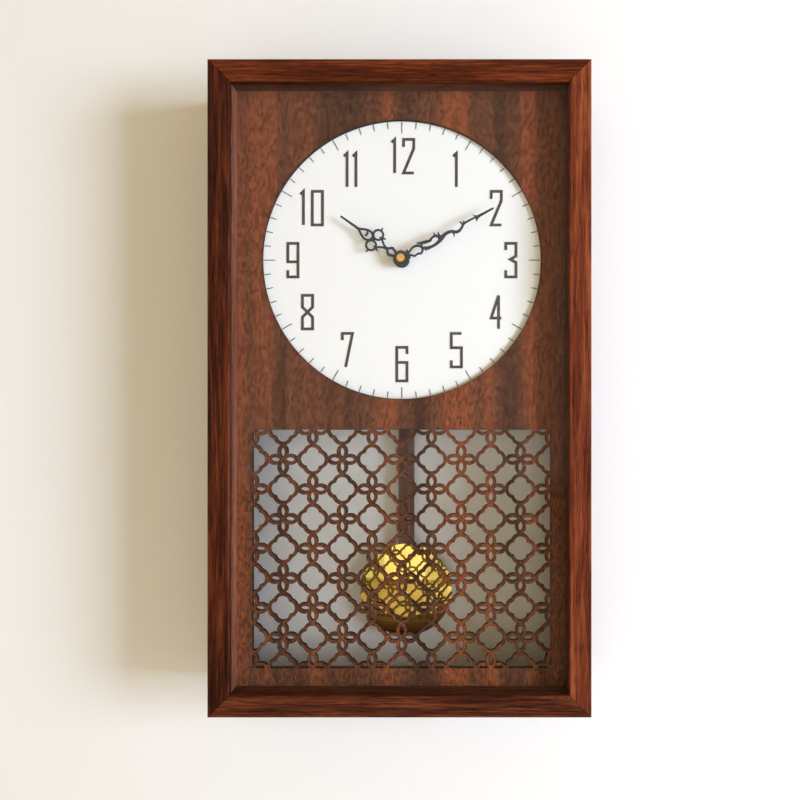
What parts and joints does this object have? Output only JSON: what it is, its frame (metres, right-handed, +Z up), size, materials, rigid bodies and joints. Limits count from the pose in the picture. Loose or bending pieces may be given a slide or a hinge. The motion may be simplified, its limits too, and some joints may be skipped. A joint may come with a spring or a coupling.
{
  "type": "wooden pendulum wall clock",
  "caption": "Glazed wooden wall clock with a round white dial, filigree hands, a fretted veneer panel, a quartz movement and a swinging brass pendulum.",
  "frame": {"origin": "centre of the keyhole hanger's round hole, on the wall plane", "axes": "+Z up, +X to the right as the clock is seen, +Y into the wall, so the front faces -Y"},
  "size_m": [0.28, 0.076, 0.48],
  "materials": {
    "stained_hardwood": "satin lacquer, dark red-brown",
    "key_wood": "bare",
    "sapele_veneer": "satin lacquer",
    "clear_glass": "polished",
    "white_dial": "white enamel",
    "brown_marks": "matt",
    "white_board": "white paint",
    "steel": "plain",
    "brass": "polished",
    "dark_plastic": "moulded",
    "pale_plastic": "moulded",
    "black_hand": "black paint",
    "rubber_seal": "plain",
    "copper_winding": "enamelled wire",
    "magnet": "plain",
    "battery_can": "plain sleeve"
  },
  "bodies": {
    "clock_case": {"case_left": "stained_hardwood", "case_right": "stained_hardwood", "case_top": "stained_hardwood", "case_bottom": "stained_hardwood", "strip_left": "stained_hardwood", "strip_right": "stained_hardwood", "strip_top": "stained_hardwood", "strip_bottom": "stained_hardwood", "cleat_left": "stained_hardwood", "cleat_right": "stained_hardwood", "cleat_top": "stained_hardwood", "cleat_bottom": "stained_hardwood", "hanging_rail": "stained_hardwood", "mitre_keys": "key_wood", "front_panel": "sapele_veneer", "front_glass": "clear_glass", "dial_plate": "white_dial", "hour_numerals": "brown_marks", "minute_track": "brown_marks", "back_board": "white_board", "dial_screws": "steel", "back_screws": "steel", "hanger_screws": "steel", "pivot_pin": "steel", "pin_clip": "steel", "contact_plus": "steel", "contact_minus": "steel", "motor_stator": "steel", "quartz_crystal": "steel", "hanger_plate": "brass", "bush_washer": "brass", "bush_nut": "brass", "movement_front": "dark_plastic", "movement_back": "dark_plastic", "circuit_board": "dark_plastic", "coil_bobbin": "pale_plastic", "movement_gasket": "rubber_seal", "coil_winding": "copper_winding", "pendulum_coil": "copper_winding"},
    "minute": {"minute_arbor": "brass", "minute_hand": "black_hand", "cap_nut": "brass"},
    "hour": {"hour_wheel": "pale_plastic", "hour_hand": "black_hand"},
    "motion": {"motion_wheel": "pale_plastic"},
    "setting": {"setting_knob": "pale_plastic"},
    "third": {"third_wheel": "pale_plastic"},
    "fourth": {"fourth_wheel": "pale_plastic"},
    "rotor": {"motor_rotor": "magnet"},
    "pendulum": {"swing_arm": "pale_plastic", "arm_magnet": "magnet", "pendulum_rod": "stained_hardwood", "rod_eyelet": "brass", "bob_front": "brass", "bob_back": "brass", "rod_clamp": "key_wood"},
    "battery_body": {"battery": "battery_can"}
  },
  "joints": [
    {"name": "minute_turn", "type": "hinge", "parent": "clock_case", "child": "minute", "pos_m": [0, -0.042, -0.116], "axis": [0, 1, 0], "continuous": true},
    {"name": "hour_turn", "type": "hinge", "parent": "clock_case", "child": "hour", "pos_m": [0, -0.042, -0.116], "axis": [0, 1, 0], "continuous": true},
    {"name": "motion_turn", "type": "hinge", "parent": "clock_case", "child": "motion", "pos_m": [-0.01039, -0.042, -0.11], "axis": [0, 1, 0], "continuous": true},
    {"name": "setting_turn", "type": "hinge", "parent": "clock_case", "child": "setting", "pos_m": [-0.02078, -0.042, -0.116], "axis": [0, 1, 0], "continuous": true},
    {"name": "third_turn", "type": "hinge", "parent": "clock_case", "child": "third", "pos_m": [0.01169, -0.042, -0.10925], "axis": [0, 1, 0], "continuous": true},
    {"name": "fourth_turn", "type": "hinge", "parent": "clock_case", "child": "fourth", "pos_m": [0.01499, -0.042, -0.12157], "axis": [0, 1, 0], "continuous": true},
    {"name": "rotor_turn", "type": "hinge", "parent": "clock_case", "child": "rotor", "pos_m": [0.017, -0.042, -0.136], "axis": [0, 1, 0], "continuous": true},
    {"name": "pendulum_swing", "type": "hinge", "parent": "clock_case", "child": "pendulum", "pos_m": [0, -0.0225, -0.144], "axis": [0, 1, 0], "range_deg": [-6, 6]},
    {"name": "battery_out", "type": "slide", "parent": "clock_case", "child": "battery_body", "axis": [0, 1, 0], "range_m": [0, 0.045]}
  ],
  "couplings": [
    {"joint": "hour_turn", "follows": "minute_turn", "ratio": 0.083333},
    {"joint": "motion_turn", "follows": "minute_turn", "ratio": -0.33333},
    {"joint": "setting_turn", "follows": "minute_turn", "ratio": 1},
    {"joint": "third_turn", "follows": "minute_turn", "ratio": -8},
    {"joint": "fourth_turn", "follows": "minute_turn", "ratio": 60}
  ]
}
